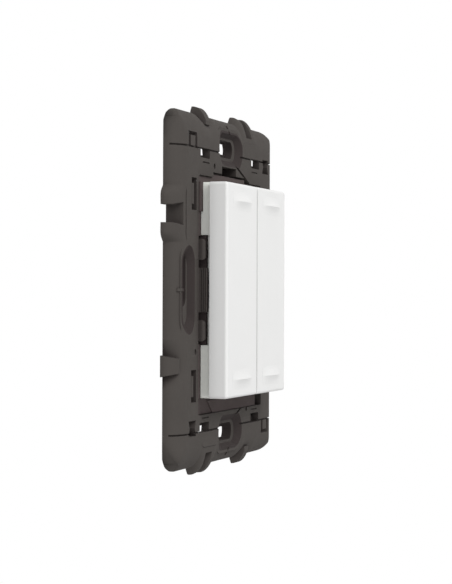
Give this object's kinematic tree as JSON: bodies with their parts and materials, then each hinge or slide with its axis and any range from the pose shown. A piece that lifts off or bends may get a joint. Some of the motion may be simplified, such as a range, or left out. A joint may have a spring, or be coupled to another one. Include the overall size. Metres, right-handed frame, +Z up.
{
  "type": "wireless remote wall switch",
  "caption": "Flat square wall switch: dark mounting frame with screw recesses and joining tabs, and a clip-in module with two white rocker keys.",
  "frame": {"origin": "centre of the mounting frame's rear plane, which lies on the wall", "axes": "+X right as seen from the room, +Z up, the front looks along -Y and the wall is on the +Y side"},
  "size_m": [0.0758, 0.0104, 0.0758],
  "materials": {
    "frame_plastic": "fine satin, dark warm grey",
    "base_plastic": "fine satin, dark warm grey",
    "housing_plastic": "satin, greyish white",
    "key_plastic": "silky, pure white",
    "shaft_steel": "ground",
    "screw_steel": "zinc plated",
    "board": "glass-fibre board with green solder resist",
    "silicone": "soft, grey and slightly translucent",
    "contact_carbon": "conductive, black",
    "contact_gold": "thin plated",
    "core_steel": "stamped, plain",
    "bobbin_plastic": "moulded, black",
    "winding_copper": "enamelled copper wire, tightly wound",
    "magnet_nickel": "nickel plated",
    "carrier_plastic": "moulded, natural",
    "spring_steel": "rolled strip",
    "terminal_tin": "tinned",
    "chip_black": "moulded, fine grain",
    "crystal_can": "drawn lid",
    "capacitor_tan": "moulded, tan",
    "antenna_copper": "bare copper wire"
  },
  "bodies": {
    "switch": {"mounting_frame": "frame_plastic", "module_base": "base_plastic", "front_housing": "housing_plastic", "key_shaft": "shaft_steel", "housing_screws": "screw_steel", "circuit_board": "board", "upper_dome_mat": "silicone", "lower_dome_mat": "silicone", "contact_pills": "contact_carbon", "contact_pads": "contact_gold", "flux_core": "core_steel", "coil_bobbin": "bobbin_plastic", "coil_winding": "winding_copper", "coil_terminals": "terminal_tin", "radio_chip": "chip_black", "crystal": "crystal_can", "storage_capacitors": "capacitor_tan", "rectifier_diodes": "chip_black", "antenna_wire": "antenna_copper"},
    "left_key": {"left_key": "key_plastic"},
    "right_key": {"right_key": "key_plastic"},
    "armature": {"front_pole_plate": "core_steel", "rear_pole_plate": "core_steel", "magnet": "magnet_nickel", "armature_carrier": "carrier_plastic", "drive_spring": "spring_steel", "spring_rivets": "shaft_steel"}
  },
  "joints": [
    {"name": "left_key_rock", "type": "hinge", "parent": "switch", "child": "left_key", "pos_m": [0, -0.007, 0], "axis": [1, 0, 0], "range_deg": [-3.5, 3.5], "stiffness_Nm_per_rad": 0.03, "deforming": ["upper_dome_mat", "lower_dome_mat", "drive_spring"]},
    {"name": "right_key_rock", "type": "hinge", "parent": "switch", "child": "right_key", "pos_m": [0, -0.007, 0], "axis": [1, 0, 0], "range_deg": [-3.5, 3.5], "stiffness_Nm_per_rad": 0.03, "deforming": ["upper_dome_mat", "lower_dome_mat", "drive_spring"]},
    {"name": "armature_rock", "type": "hinge", "parent": "switch", "child": "armature", "pos_m": [0, -0.0027, -0.0042], "axis": [0, 0, 1], "range_deg": [-2, 2], "stiffness_Nm_per_rad": 0.02, "deforming": ["drive_spring"]}
  ]
}
